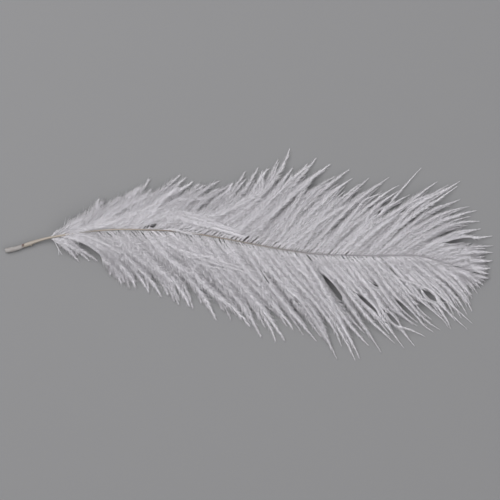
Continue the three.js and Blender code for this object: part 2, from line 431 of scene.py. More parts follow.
def new_socket(group: bpy.types.NodeTree, name: str, direction: str, value: float = 0.0) -> None:
    """Add one named socket for a number to a node group.

    Args:
        group: The node group.
        name: The socket's name.
        direction: INPUT or OUTPUT.
        value: The socket's default value.
    """
    socket = group.interface.new_socket(name, in_out=direction, socket_type="NodeSocketFloat")
    socket.default_value = value


def mottle_group() -> bpy.types.NodeTree:
    """Make the shared node group that mottles a surface with soft patches and fine grain.

    Returns:
        A group with inputs Patch Scale, Grain Scale and Grain Share, and the output Mask.
    """
    group = bpy.data.node_groups.new("soft_mottle", "ShaderNodeTree")
    for name, value in (("Patch Scale", 100.0), ("Grain Scale", 2000.0), ("Grain Share", 0.4)):
        new_socket(group, name, "INPUT", value)
    new_socket(group, "Mask", "OUTPUT")
    nodes, links = group.nodes, group.links
    entry = nodes.new("NodeGroupInput")
    leave = nodes.new("NodeGroupOutput")
    place = nodes.new("ShaderNodeTexCoord")
    patches = nodes.new("ShaderNodeTexNoise")
    patches.inputs["Detail"].default_value = 3.0
    grain = nodes.new("ShaderNodeTexNoise")
    grain.inputs["Detail"].default_value = 2.0
    blend = nodes.new("ShaderNodeMix")
    for source, result, target, use in (
        (place, "Object", patches, "Vector"),
        (place, "Object", grain, "Vector"),
        (entry, "Patch Scale", patches, "Scale"),
        (entry, "Grain Scale", grain, "Scale"),
        (entry, "Grain Share", blend, "Factor"),
        (patches, "Fac", blend, "A"),
        (grain, "Fac", blend, "B"),
        (blend, "Result", leave, "Mask"),
    ):
        links.new(source.outputs[result], target.inputs[use])
    return group


@dataclass(frozen=True)
class Finish:
    """A finish whose colour goes from dark to light by the piece's tone attribute and by mottling.

    A finish with an aged colour also goes over to that colour where the piece's age attribute is 1.
    """

    name: str
    dark: Colour
    light: Colour
    roughness: float
    patch_scale: float
    grain_scale: float
    grain_share: float
    mottle: float
    bump: float = 0.0
    bump_depth: float = 0.05 * MM
    sheen: float = 0.0
    aged: Colour | None = None

    def material(self, mottle: bpy.types.NodeTree) -> bpy.types.Material:
        """Make the material.

        Args:
            mottle: The shared mottling group.

        Returns:
            A material for pieces that have a tone for each point, from 0 (dark) to 1 (light).
        """
        made = bpy.data.materials.new(self.name)
        made.use_nodes = True
        nodes, links = made.node_tree.nodes, made.node_tree.links
        surface = nodes["Principled BSDF"]
        surface.inputs["Roughness"].default_value = self.roughness
        surface.inputs["Sheen Weight"].default_value = self.sheen
        tone = nodes.new("ShaderNodeAttribute")
        tone.attribute_name = TONE
        patches = nodes.new("ShaderNodeGroup")
        patches.node_tree = mottle
        patches.inputs["Patch Scale"].default_value = self.patch_scale
        patches.inputs["Grain Scale"].default_value = self.grain_scale
        patches.inputs["Grain Share"].default_value = self.grain_share
        shift = nodes.new("ShaderNodeMath")
        shift.operation = "MULTIPLY_ADD"
        shift.inputs[1].default_value = self.mottle
        shift.inputs[2].default_value = -self.mottle / 2
        total = nodes.new("ShaderNodeMath")
        total.operation = "ADD"
        total.use_clamp = True
        colour = nodes.new("ShaderNodeMix")
        colour.data_type = "RGBA"
        colour.inputs["A"].default_value = (*self.dark, 1.0)
        colour.inputs["B"].default_value = (*self.light, 1.0)
        links.new(patches.outputs["Mask"], shift.inputs[0])
        links.new(tone.outputs["Fac"], total.inputs[0])
        links.new(shift.outputs["Value"], total.inputs[1])
        links.new(total.outputs["Value"], colour.inputs["Factor"])
        if self.aged:
            age = nodes.new("ShaderNodeAttribute")
            age.attribute_name = AGE
            young = colour
            colour = nodes.new("ShaderNodeMix")
            colour.data_type = "RGBA"
            colour.inputs["B"].default_value = (*self.aged, 1.0)
            links.new(age.outputs["Fac"], colour.inputs["Factor"])
            links.new(young.outputs["Result"], colour.inputs["A"])
        links.new(colour.outputs["Result"], surface.inputs["Base Color"])
        if self.bump:
            relief = nodes.new("ShaderNodeBump")
            relief.inputs["Strength"].default_value = self.bump
            relief.inputs["Distance"].default_value = self.bump_depth
            links.new(patches.outputs["Mask"], relief.inputs["Height"])
            links.new(relief.outputs["Normal"], surface.inputs["Normal"])
        return made


# The down's dark end is deep so that its painted shade on low barbs and barbule tips reads dark,
# besides its own tone that differs at random.
DOWN = Finish(
    "white_down",
    dark=(0.49, 0.468, 0.499),
    light=(0.975, 0.95, 1.0),
    roughness=0.75,
    patch_scale=60.0,
    grain_scale=900.0,
    grain_share=0.4,
    mottle=0.25,
    sheen=0.15,
)
HORN = Finish(
    "cream_horn",
    dark=(0.125, 0.106, 0.09),
    light=(0.31, 0.272, 0.232),
    roughness=0.42,
    patch_scale=150.0,
    grain_scale=2500.0,
    grain_share=0.5,
    mottle=0.35,
    bump=0.25,
    aged=(0.257, 0.242, 0.257),
)
SKIN = Finish(
    "dry_root_skin",
    dark=(0.09, 0.04, 0.03),
    light=(0.31, 0.305, 0.30),
    roughness=0.85,
    patch_scale=400.0,
    grain_scale=3000.0,
    grain_share=0.6,
    mottle=0.3,
    bump=0.5,
)
FLOOR = Finish(
    "pale_floor",
    dark=(0.18, 0.18, 0.185),
    light=(0.20, 0.20, 0.205),
    roughness=0.9,
    patch_scale=3.0,
    grain_scale=60.0,
    grain_share=0.3,
    mottle=0.4,
)


# ---- Meshes ----


def finish_piece(
    mesh: bpy.types.Mesh, name: str, material: bpy.types.Material, node: str
) -> None:
    """Turn a finished mesh into a named piece of the feather.

    Args:
        mesh: The mesh, already in place.
        name: The piece's name.
        material: Its finish.
        node: The plain solid that the piece stands for, alone or with others.
    """
    piece = bpy.data.objects.new(name, mesh)
    bpy.context.scene.collection.objects.link(piece)
    mesh.materials.append(material)
    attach(piece, "root")
    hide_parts(node)
    log.info("%s: %d triangles", name, sum(len(p.vertices) - 2 for p in mesh.polygons))


def spun(profile: list[tuple[float, float]], steps: int) -> bmesh.types.BMesh:
    """Spin a profile of (x, radius) points once round the X axis.

    Args:
        profile: Points from one end on the axis to the other.
        steps: How many faces go round.

    Returns:
        A closed shape whose normals point outwards.
    """
    shape = bmesh.new()
    verts = [shape.verts.new((x, radius, 0)) for x, radius in profile]
    edges = [shape.edges.new(pair) for pair in zip(verts, verts[1:])]
    bmesh.ops.spin(
        shape,
        geom=[*verts, *edges],
        cent=(0, 0, 0),
        axis=(1, 0, 0),
        angle=math.tau,
        steps=steps,
        use_merge=True,
    )
    bmesh.ops.remove_doubles(shape, verts=shape.verts, dist=WELD)
    bmesh.ops.recalc_face_normals(shape, faces=shape.faces)
    return shape


def write_values(mesh: bpy.types.Mesh, name: str, values: Array) -> None:
    """Give each point of a mesh its value of a named attribute."""
    mesh.attributes.new(name, "FLOAT", "POINT").data.foreach_set("value", values.astype(np.float32))


def to_mesh(shape: bmesh.types.BMesh, name: str, tone: Array) -> bpy.types.Mesh:
    """Write a bmesh to a smooth-shaded mesh with its tone attribute, and free it.

    Args:
        shape: The bmesh.
        name: The mesh's name.
        tone: The tone of each of its points.

    Returns:
        The mesh.
    """
    mesh = bpy.data.meshes.new(name)
    for face in shape.faces:
        face.smooth = True
    shape.to_mesh(mesh)
    shape.free()
    write_values(mesh, TONE, tone)
    return mesh


def grain_at(points: Array, scale: float) -> Array:
    """Read smooth noise, from about -1 to 1, at points in metres."""
    return np.array([noise.noise(Vector(p) * scale) for p in points])


@dataclass
class Shaft:
    """The quill and the rachis: one tapering stem."""

    line: ShaftLine
    start: float = -123.3 * MM
    end: float = 123.0 * MM
    root_cap: float = 0.1 * MM
    tip_cap: float = 0.05 * MM
    rings: int = 360
    ring_crowding: float = 1.2
    sides: int = 20
    ridges: int = 3
    ridge_height: float = 0.05
    turns_per_metre: float = 55.0
    quill_end: float = -100 * MM
    quill_fade: float = 20 * MM
    spur_x: float = -111.9 * MM
    spur_length: float = 0.75 * MM
    spur_width: float = 0.45 * MM
    spur_turn: float = 0.42
    spur_hook: float = 0.5
    # Painted light on the quill: how much lighter its ridge crests are than their grooves, and its +Y
    # side than its -Y side.
    streaks: float = 0.14
    lit_side: float = 0.16
    grey_from: float = -25 * MM
    grey_over: float = 80 * MM

    def build(self, material: bpy.types.Material) -> None:
        """Build the stem and dress it.

        Args:
            material: The finish of the stem.
        """
        shares = np.linspace(0, 1, self.rings) ** self.ring_crowding
        xs = self.start + (self.end - self.start) * shares
        radii = self.line.radius(xs)
        profile = [(self.start - self.root_cap, 0.0), *zip(xs, radii), (self.end + self.tip_cap, 0.0)]
        shape = spun(profile, self.sides)
        local = np.array([v.co for v in shape.verts])
        around = np.arctan2(local[:, 2], local[:, 1])
        twist = np.cos(self.ridges * around + math.tau * self.turns_per_metre * local[:, 0])
        quill = 1 - smooth_step((local[:, 0] - self.quill_end) / self.quill_fade)
        local[:, 1:] *= (1 + self.ridge_height * twist * quill)[:, None]
        self.raise_spur(local, around)
        for vert, place in zip(shape.verts, self.line.bend(local)):
            vert.co = place
        name = "quill_and_rachis"
        mesh = to_mesh(shape, name, self.tones(local, around, twist, quill))
        write_values(mesh, AGE, smooth_step((local[:, 0] - self.grey_from) / self.grey_over))
        finish_piece(mesh, name, material, "shaft")

    def raise_spur(self, local: Array, around: Array) -> None:
        """Pull out the small hooked spur on the right side of the quill.

        Args:
            local: The points round the straight axis, which are moved in place.
            around: Their angle round the axis.
        """
        along = (local[:, 0] - self.spur_x) / self.spur_width
        turn = np.abs(np.angle(np.exp(1j * (around - math.pi)))) / self.spur_turn
        pull = self.spur_length * np.exp(-(along**2) - turn**2)
        local[:, 1] -= pull
        local[:, 0] += self.spur_hook * pull

    def tones(self, local: Array, around: Array, twist: Array, quill: Array) -> Array:
        """Give each point its tone: cream with oblique streaks on the quill, tan along the rachis.

        Args:
            local: The points round the straight axis.
            around: Their angle round the axis.
            twist: Where they are on the oblique ridges, from -1 to 1.
            quill: 1 on the quill and 0 on the rachis.

        Returns:
            The tones, from 0 (dark) to 1 (light).
        """
        knots, tones = np.array(SHAFT_TONES).T
        plain = np.interp(local[:, 0] / MM, knots, tones)
        # Painted highlight and shade: lighter on the +Y side and on the ridge crests, darker on the -Y
        # side and in the grooves.
        lit = self.lit_side * np.cos(around)
        return np.clip(plain + self.streaks * twist * quill + lit * quill, 0, 1)


@dataclass
class RootSheath:
    """The dry white skin that is left round the root of the quill, torn open at its mouth."""

    line: ShaftLine
    start: float = -124.98 * MM
    mouth: float = -115.3 * MM
    wall: float = 0.16 * MM
    clearance: float = 0.02 * MM
    sides: int = 56
    rings: int = 60
    ring_crowding: float = 1.5
    solid_rings: int = 12
    tear: float = 0.95 * MM
    torn_length: float = 2.2 * MM
    # Waves round the torn mouth: how many go round, the turn they start with and their size.
    tears: Table = ((2, 0.6, 1.0), (5, 2.1, 0.6), (11, 0.0, 0.5))
    wrinkle_scale: float = 900.0
    wrinkle_stretch: Row = (0.5, 1.0, 1.0)
    wrinkle_depth: float = 0.045
    wrinkle_from: float = 0.9 * MM
    # Painted light and shade: how much lighter the skin is where its wrinkles swell out, and darker in
    # their hollows.
    painted_wrinkle_light: float = 0.24
    plain_tone: float = 0.78
    stain_tone: float = 0.8
    stain_width: float = 0.7 * MM
    stain_turn: float = 0.9

    def build(self, material: bpy.types.Material) -> None:
        """Build the skin and dress it.

        Args:
            material: The finish of the skin.
        """
        shape = spun(self.profile(), self.sides)
        local = np.array([v.co for v in shape.verts])
        radius = np.hypot(local[:, 1], local[:, 2])
        around = np.arctan2(local[:, 2], local[:, 1])
        near_mouth = smooth_step((local[:, 0] - self.mouth + self.torn_length) / self.torn_length)
        ragged = sum(size * np.sin(count * around + turn) for count, turn, size in self.tears)
        wrinkle = grain_at(local * np.array(self.wrinkle_stretch), self.wrinkle_scale)
        local[:, 0] += near_mouth * self.tear / 2 * ragged
        swell = 1 + self.wrinkle_depth * wrinkle * smooth_step(radius / self.wrinkle_from)
        local[:, 1:] *= swell[:, None]
        beside = (np.cos(around - self.stain_turn) * 0.5 + 0.5) ** 2
        stain = np.exp(-(((local[:, 0] - self.mouth) / self.stain_width) ** 2)) * beside
        # Painted light and shade on the wrinkles, and the real stain darkening the mouth.
        tone = np.clip(self.plain_tone + self.painted_wrinkle_light * wrinkle - self.stain_tone * stain, 0, 1)
        placed = self.line.bend(local)
        placed[:, 2] = np.maximum(placed[:, 2], self.clearance)
        for vert, place in zip(shape.verts, placed):
            vert.co = place
        name = "torn_root_skin"
        finish_piece(to_mesh(shape, name, tone), name, material, "root_sheath")

    def profile(self) -> list[tuple[float, float]]:
        """Give the skin's outline as (x, radius), out over its closed end and back inside its mouth.

        Returns:
            The points of the outline, from the axis to the axis.
        """
        shares = np.linspace(0, 1, self.rings) ** self.ring_crowding
        xs = self.start + shares * (self.mouth - self.start)
        places, radii = (np.array(SKIN_STATIONS) * MM).T
        outer = [(self.start, 0.0), *zip(xs[1:], np.interp(xs[1:], places, radii))]
        inner = [(x, max(radius - self.wall, 0)) for x, radius in outer[: self.solid_rings : -1]]
        return [*outer, *inner, (inner[-1][0], 0.0)]


# ---- Down ----


def even_spacing(line: Array, count: int = LINE_POINTS) -> Array:
    """Spread points evenly along a line.

    Args:
        line: The line's points.
        count: How many points to give.

    Returns:
        Points at equal distances along the line.
    """
    steps = np.linalg.norm(np.diff(line, axis=0), axis=1)
    along = np.concatenate([[0.0], np.cumsum(steps)]) / steps.sum()
    even = np.linspace(0, 1, count)
    return np.stack([np.interp(even, along, line[:, axis]) for axis in range(line.shape[1])], axis=1)


def fluff_at(x: Array) -> Array:
    """Give how fluffy the barbs are that leave the shaft at x, from 1 near the quill to 0."""
    return np.clip((FLUFF_END - x) / FLUFF_OVER, 0, 1)


def waves_of(rng: np.random.Generator, count: int, paces: Range) -> tuple[Array, Array]:
    """Draw the turn that each barb's wave starts with, and its pace along the barb, in radians."""
    return rng.uniform(0, math.tau, (count, 1)), rng.uniform(*paces, (count, 1))


def with_fluff(values: ByFluff, fluff: Array) -> Array:
    """Give the value of barbs between sleek and fluffy, for a fluff from 0 to 1."""
    sleek, added = values
    return sleek + added * fluff


@dataclass
class Barbs:
    """Barbs as lines in space, with one entry of each array for each barb."""

    roots: Array
    lines: Array
    fullness: Array
    tone: Array

    @property
    def fluff(self) -> Array:
        """How fluffy each barb is, from 1 near the quill to 0 near the tip of the feather."""
        return fluff_at(self.roots)

    def between(self, first: float, last: float) -> "Barbs":
        """Pick the barbs whose roots lie in a stretch of the shaft."""
        inside = (self.roots >= first) & (self.roots < last)
        return Barbs(self.roots[inside], self.lines[inside], self.fullness[inside], self.tone[inside])

    def joined(self, other: "Barbs") -> "Barbs":
        """Put two lots of barbs together."""
        names = ("roots", "lines", "fullness", "tone")
        return Barbs(*(np.concatenate([getattr(self, name), getattr(other, name)]) for name in names))


@dataclass(frozen=True)
class VaneShape:
    """How a vane's barbs bow and how thick the vane is, from the shaft out to its edge."""

    root_thickness: float = 1.0 * MM
    tip_thickness: float = 1.4 * MM
    crown: float = 3.6 * MM
    touchdown: float = 0.86
    underside_curve: float = 1.5
    split_sharpness: float = 1.2
    bow: float = 0.36

    def sides(self, share: Array, shaft_z: Array) -> tuple[Array, Array]:
        """Give the lower and upper side of the vane, a share of the way along a barb.

        Args:
            share: How far along its barb each point is.
            shaft_z: Height of the shaft's middle at each root.

        Returns:
            The lower and the upper height at each point.
        """
        half = self.root_thickness / 2
        fall = np.maximum(0, 1 - (share / self.touchdown) ** self.underside_curve)
        straight = (shaft_z + half) * (1 - share) + self.tip_thickness * share
        return (shaft_z - half) * fall, straight + self.crown * 4 * share * (1 - share)


@dataclass(frozen=True)
class Spread:
    """How much the barbs of a vane differ from each other, mostly as a range or as (mean, scatter)."""

    root: float = 0.2
    aim: float = 0.14
    short_share: float = 0.35
    short_reach: Range = (0.72, 0.95)
    full_reach: Range = (0.93, 1.0)
    layer: Range = (0.64, 0.065)
    layer_room: Range = (0.1, 0.8)
    astray_share: float = 0.12
    astray_less_near_tip: float = 0.75
    astray_aim: Range = (1.0, 2.4)
    astray_layer: float = 0.78
    leader_freedom: float = 0.3
    fullness: Range = (0.75, 1.15)
    tone: Range = (0.76, 0.12)
    # Painted shade: how much darker a barb is for each step lower it lies in the vane, as if shaded by
    # the barbs above it.
    painted_shade_by_layer: float = 2.0
    tone_near_tip: float = 0.1
    lean: float = 5.0
    weave: float = 0.06
    weave_pace: Range = (3.0, 7.0)
    weave_room: Range = (0.03, 0.97)
    sweep: float = 0.6 * MM
    sweep_pitch: float = 7.0 * MM
    sweep_turn: float = 1.2
    sweep_pace: Range = (4.5, 7.5)
    sweep_size: Range = (0.3, 1.0)
    stray_growth: Range = (0.4, 1.6)
    stray_tone: Range = (0.95, 0.04)


@dataclass
class Vane:
    """One vane: where its barbs leave the shaft, the way they run, and where they part."""

    side: Side
    tufts: Table
    strays: tuple[Stray, ...]
    partings: Table
    line: ShaftLine
    seed: int
    shape: VaneShape = VaneShape()
    spread: Spread = Spread()
    spacing: float = 1.1 * MM
    base_crowding: float = 0.14
    tip_crowding: float = 0.36
    tip_start: float = 58 * MM
    tip_over: float = 20 * MM
    # How far the tufts gather their barbs: plainly, by fluff, near the feather's tip, by their split.
    hold: Row = (0.35, -0.2, -0.28, 1.5)
    hold_most: float = 0.92
    # Slow and fast waves along a barb: their size, their slowest pace and their fastest pace.
    wander: Row = (0.55 * MM, 2.0, 6.0)
    ripple: Row = (0.2 * MM, 9.0, 20.0)
    calm_root: float = 0.35
    swing: ByFluff = (0.8, 0.6)
    swing_least: float = 0.1
    full_swing_length: float = 35 * MM
    gather_from: float = 0.56
    beside_shaft: ByFluff = (0.25, 0.35)
    root_level: ByFluff = (0.48, -0.36)
    root_share: float = 0.08
    curl: float = 0.1
    # How far short of the vane's edge barbs end, which leaves room for their last barbules.
    tip_margin: float = 1.0 * MM
    tip_room: ByFluff = (1.0, 1.1)
    shortest: float = 0.15
    smoothing: int = 3
    bundle: int = 2
    scatter: float = 0.6 * MM
    drape: float = 0.45 * MM
    drape_width: float = 2.2 * MM
    drape_smoothing: int = 12
    rise_by: float = 0.45
    # A stray rests on this percentile of the heights under it, at its root, and more once it has risen.
    rest_percentile: Range = (35.0, 45.0)
    # How far from a parting its push is felt, in half widths, and how many times that for a led vane.
    parting_margin: float = 2.2
    led_margins: float = 3.0
    fullness: float = 1.0
    fuzz: float = 0.3

    def read(self, place: Array, column: int) -> Array:
        """Read one column of the tuft table at places counted in tufts."""
        return np.interp(place, np.arange(len(self.tufts)), np.array(self.tufts)[:, column])

    def edge(self, place: Array) -> Array:
        """Give the x, y of the vane's edge at places counted in tufts."""
        return np.stack([self.read(place, TUFT_X), self.read(place, TUFT_Y)], axis=1) * MM

    def split_at(self, place: Array) -> Array:
        """Give the depth of the split that a place between tufts lies beside."""
        index = np.clip(np.floor(place).astype(int), 0, len(self.tufts) - 1)
        return np.array(self.tufts)[index, TUFT_SPLIT]

    def near_tip(self, x: Array) -> Array:
        """Give how near the tip of the feather the barbs are that leave the shaft at x, from 0 to 1."""
        return smooth_step((x - self.tip_start) / self.tip_over)

    def grow(self) -> Barbs:
        """Lay out all of the vane's barbs.

        Returns:
            The combed barbs, and the strays that lie on them.
        """
        rng = np.random.default_rng(SEED + self.seed)
        combed = self.comb(rng)
        return combed.joined(self.lay_strays(combed, rng)) if self.strays else combed

    def space_roots(self, rng: np.random.Generator) -> Array:
        """Space the barbs' roots along the shaft, closer where they are fluffy and near the tip.

        Args:
            rng: The source of all chance.

        Returns:
            x of each root.
        """
        first, last = self.tufts[0][TUFT_ROOT] * MM, self.tufts[-1][TUFT_ROOT] * MM
        ladder = np.linspace(first, last, LADDER_STEPS)
        crowd = self.base_crowding * fluff_at(ladder) + self.tip_crowding * self.near_tip(ladder)
        rungs = np.cumsum(1 / (self.spacing * (1 - crowd))) * (ladder[1] - ladder[0])
        count = round(rungs[-1])
        rung = np.arange(count) + rng.uniform(-self.spread.root, self.spread.root, count)
        return np.interp(rung, rungs, ladder)

    def comb(self, rng: np.random.Generator) -> Barbs:
        """Lay out the barbs that follow the tufts.

        Args:
            rng: The source of all chance.

        Returns:
            The combed barbs.
        """
        roots = self.space_roots(rng)
        count, spread, last_tuft = len(roots), self.spread, len(self.tufts) - 1
        place = np.interp(roots / MM, np.array(self.tufts)[:, TUFT_ROOT], np.arange(last_tuft + 1))
        nearest = np.round(place)
        split, near_tip = self.split_at(place), self.near_tip(roots)
        plain, by_fluff, by_tip, by_split = self.hold
        hold = plain + by_fluff * fluff_at(roots) + by_tip * near_tip + by_split * split
        hold = np.clip(hold, 0, self.hold_most)
        aim = rng.normal(0, spread.aim, count)
        reach = 1 - split * (np.abs(place - nearest) * 2) ** self.shape.split_sharpness
        is_short = rng.random(count) < spread.short_share
        short, full = rng.uniform(*spread.short_reach, count), rng.uniform(*spread.full_reach, count)
        reach *= np.where(is_short, short, full)
        layer = np.clip(rng.normal(*spread.layer, count), *spread.layer_room)
        astray = rng.random(count) < spread.astray_share * (1 - spread.astray_less_near_tip * near_tip)
        apart = rng.choice([-1.0, 1.0], count) * rng.uniform(*spread.astray_aim, count)
        aim += np.where(astray, apart, 0)
        end = nearest + (place - nearest) * (1 - hold) + aim
        layer = np.where(astray, spread.astray_layer, layer)
        leaders = [int(np.argmin(np.abs(place - index))) for index in range(last_tuft + 1)]
        end[leaders], reach[leaders] = np.arange(last_tuft + 1), 1.0
        freedom = np.ones(count)
        freedom[leaders] = spread.leader_freedom
        ends = (np.clip(place + aim, 0, last_tuft), np.clip(end, 0, last_tuft))
        lines = self.run(roots, ends, reach, layer, freedom, rng)
        fullness = self.fullness * rng.uniform(*spread.fullness, count)
        # Painted light and shade: barbs lying low in the vane are darker and barbs on top are lighter.
        lighter = spread.painted_shade_by_layer * (layer - spread.layer[0])
        tone = rng.normal(*spread.tone, count) + lighter + spread.tone_near_tip * near_tip
        return Barbs(roots, lines, fullness, tone)

    def run(
        self,
        roots: Array,
        ends: tuple[Array, Array],
        reach: Array,
        layer: Array,
        freedom: Array,
        rng: np.random.Generator,
    ) -> Array:
        """Run barbs from their roots towards their tips.

        Args:
            roots: x of each root.
            ends: Where each barb heads for at first and where its tip belongs, counted in tufts.
            reach: How much of its full length each barb has.
            layer: How high each barb lies in the vane's thickness, from 0 to 1.
            freedom: How much each barb may wander.
            rng: The source of the barbs' own waviness.

        Returns:
            The points of each barb, evenly spaced.
        """
        count, fluff, spread = len(roots), fluff_at(roots), self.spread
        centre = self.line.centre(roots)
        chord = np.linalg.norm(self.edge(ends[1]) - centre[:, :2], axis=1)
        short_by = self.tip_margin * with_fluff(self.tip_room, fluff) / chord
        limit = np.clip(reach - short_by, self.shortest, 1)
        t = np.broadcast_to(np.linspace(0, 1, 2 * LINE_POINTS), (count, 2 * LINE_POINTS))[..., None]
        sway = freedom * rng.normal(0, spread.lean, (2, count))
        gather = smooth_step((t - self.gather_from) / (1 - self.gather_from))
        ways = [self.course(roots, end, limit, sway, t) for end in ends]
        flat = ways[0] * (1 - gather) + ways[1] * gather
        share = t[..., 0]
        swing = freedom * np.clip(chord / self.full_swing_length, self.swing_least, 1)
        flat = flat + self.waves(flat, share, swing * with_fluff(self.swing, fluff), rng)
        low, high = self.shape.sides(share, centre[:, 2:3])
        turn, pace = waves_of(rng, count, spread.weave_pace)
        weave = np.clip(layer[:, None] + spread.weave * np.sin(turn + pace * share), *spread.weave_room)
        start = with_fluff(self.root_level, fluff)[:, None]
        level = start + (weave - start) * np.clip(share / self.root_share, 0, 1)
        points = np.concatenate([flat, (low + (high - low) * level)[..., None]], axis=-1)
        lines = self.part_lines(np.stack([even_spacing(line) for line in points]))
        smooth_out(lines, 1, self.smoothing)
        return lines

    def course(self, roots: Array, end: Array, reach: Array, sway: Array, t: Array) -> Array:
        """Run a smooth curve from each root to a place on the vane's edge.

        Args:
            roots: x of each root.
            end: Where each curve ends, counted in tufts.
            reach: How much of the way to the vane's edge each curve goes.
            sway: By how much each curve's lean differs from its tuft's, at its root and its tip.
            t: How far along its curve each point is.

        Returns:
            The x, y of each point.
        """
        sign = self.side.value
        beside = sign * with_fluff(self.beside_shaft, fluff_at(roots)) * self.line.radius(roots)
        root = np.stack([roots, self.line.centre(roots)[:, 1] + beside], axis=1)
        tip = root + (self.edge(end) - root) * reach[:, None]
        chord = np.linalg.norm(tip - root, axis=1)
        pull = (chord * (self.shape.bow + self.curl * fluff_at(roots)))[:, None]
        columns = (TUFT_ROOT_LEAN, TUFT_TIP_LEAN)
        lean = [np.radians(self.read(end, column) + turn) for column, turn in zip(columns, sway)]
        ways = [np.stack([np.cos(angle), sign * np.sin(angle)], axis=1) for angle in lean]
        near, far = root + pull * ways[0], tip - pull * ways[1]
        return (
            (1 - t) ** 3 * root[:, None]
            + 3 * (1 - t) ** 2 * t * near[:, None]
            + 3 * (1 - t) * t**2 * far[:, None]
            + t**3 * tip[:, None]
        )

    def waves(self, flat: Array, share: Array, size: Array, rng: np.random.Generator) -> Array:
        """Give each barb's own sideways wandering, which grows from nothing at its root.

        Args:
            flat: The x, y of each point of each barb.
            share: How far along its barb each point is.
            size: How large the waves of each barb are.
            rng: The source of the waves.

        Returns:
            What to add to the x, y of each point.
        """
        count, spread = len(flat), self.spread
        along = unit(np.gradient(flat, axis=1))
        across = np.stack([-along[..., 1], along[..., 0]], axis=-1)
        total = np.zeros_like(share)
        for swing, slow, fast in (self.wander, self.ripple):
            turn, pace = waves_of(rng, count, (slow, fast))
            total += rng.normal(0, swing, (count, 1)) * (np.sin(turn + pace * share) - np.sin(turn))
        x, pitch = flat[:, 0, 0], spread.sweep_pitch
        knots = np.arange(x.min() - pitch, x.max() + pitch, pitch)
        turn, pace, swing = (
            smooth_lookup(x, knots, values)[:, None]
            for values in (
                np.cumsum(rng.uniform(-spread.sweep_turn, spread.sweep_turn, len(knots))),
                rng.uniform(*spread.sweep_pace, len(knots)),
                rng.uniform(*spread.sweep_size, len(knots)) * spread.sweep,
            )
        )
        total += swing * (np.sin(turn + pace * share) - np.sin(turn)) * fluff_at(x)[:, None]
        return across * (size[:, None] * total * smooth_step(share / self.calm_root))[..., None]

    def lay_strays(self, under: Barbs, rng: np.random.Generator) -> Barbs:
        """Lay the strays over the combed barbs and over the shaft.

        Args:
            under: The combed barbs.
            rng: The source of all chance.

        Returns:
            The strays.
        """
        spread = self.spread
        stem = self.line.centre(np.linspace(*STEM_UNDER_STRAYS, LADDER_STEPS) * MM)
        stem[:, 2] += self.line.radius(stem[:, 0]) + self.drape
        ground = np.concatenate([under.lines.reshape(-1, 3), stem])
        lines = []
        repeats = [1 + round(self.bundle * float(fluff_at(row[0] * MM))) for row in self.strays]
        bundle = [row for row, times in zip(self.strays, repeats) for _ in range(times)]
        for root, _, passes in bundle:
            start = self.line.centre(np.array([root * MM]))[0, :2]
            knots = np.array([start, *(np.array(passes) * MM)])
            growth = np.linspace(*spread.stray_growth, len(passes))[:, None]
            knots[1:] += rng.normal(0, self.scatter, knots[1:].shape) * growth
            apart = np.concatenate([[0.0], np.cumsum(np.linalg.norm(np.diff(knots, axis=0), axis=1))])
            where = np.linspace(0, apart[-1], LINE_POINTS)
            flat = np.stack([smooth_lookup(where, apart, knots[:, axis]) for axis in (0, 1)], axis=1)
            lines.append(np.concatenate([flat, self.height_over(ground, flat)[:, None]], axis=1))
        roots = np.array([root for root, _, _ in bundle]) * MM
        fullness = np.array([fullness for _, fullness, _ in bundle])
        tone = rng.normal(*spread.stray_tone, len(roots))
        return Barbs(roots, self.part_lines(np.array(lines)), fullness, tone)

    def height_over(self, ground: Array, flat: Array) -> Array:
        """Give the height at which a line lies on what is under it, smoothed along the line.

        Args:
            ground: Points of everything that can be under the line.
            flat: The x, y of each point of the line.

        Returns:
            The height of each point of the line.
        """
        height = np.full(len(flat), np.nan)
        low, added = self.rest_percentile
        for index, point in enumerate(flat):
            near = np.hypot(*(ground[:, :2] - point).T) < self.drape_width
            if near.any():
                risen = float(smooth_step(index / len(flat) / self.rise_by))
                height[index] = np.percentile(ground[near, 2], low + added * risen) + self.drape * risen
        known = np.flatnonzero(~np.isnan(height))
        height = np.interp(np.arange(len(flat)), known, height[known])
        smooth_out(height, 0, self.drape_smoothing)
        return height

    def part_lines(self, lines: Array) -> Array:
        """Lead whole barbs past the partings, each on the side where more of it lies.

        Args:
            lines: The points of each barb.

        Returns:
            The points of each barb, outside the partings.
        """
        for parting in self.partings:
            u, v, _ = self.beside(parting, lines)
            within = (np.abs(u) < 1) & (np.abs(v) < self.parting_margin)
            nearer = np.sign(np.where(within, v, 0).sum(axis=1) + TIE)
            led = parting[PARTING_SIDE]
            side = np.full(len(lines), led) if led else nearer
            depth = self.led_margins * self.parting_margin if led else self.parting_margin
            lines = self.push(parting, lines, side[:, None], depth)
        return lines

    def part(self, points: Array, anchors: Array) -> Array:
        """Keep points out of the partings, each on the side where its anchor lies.

        Args:
            points: The points.
            anchors: For each point, one that tells its side.

        Returns:
            The points, outside the partings.
        """
        for parting in self.partings:
            _, v, _ = self.beside(parting, anchors)
            points = self.push(parting, points, np.sign(v + TIE), math.inf)
        return points

    def beside(self, parting: Row, points: Array) -> tuple[Array, Array, Array]:
        """Place points along and across a parting, in its half lengths and half widths.

        Args:
            parting: The parting.
            points: The points, in metres.

        Returns:
            Each point's place along and across the parting, and the way across it as x, y.
        """
        x, y, length, width, heading, _ = parting
        turn = math.radians(heading)
        along = np.array([math.cos(turn), math.sin(turn)])
        across = np.array([-math.sin(turn), math.cos(turn)])
        offset = points[..., :2] - np.array([x, y]) * MM
        return offset @ along / (length * MM), offset @ across / (width * MM), across

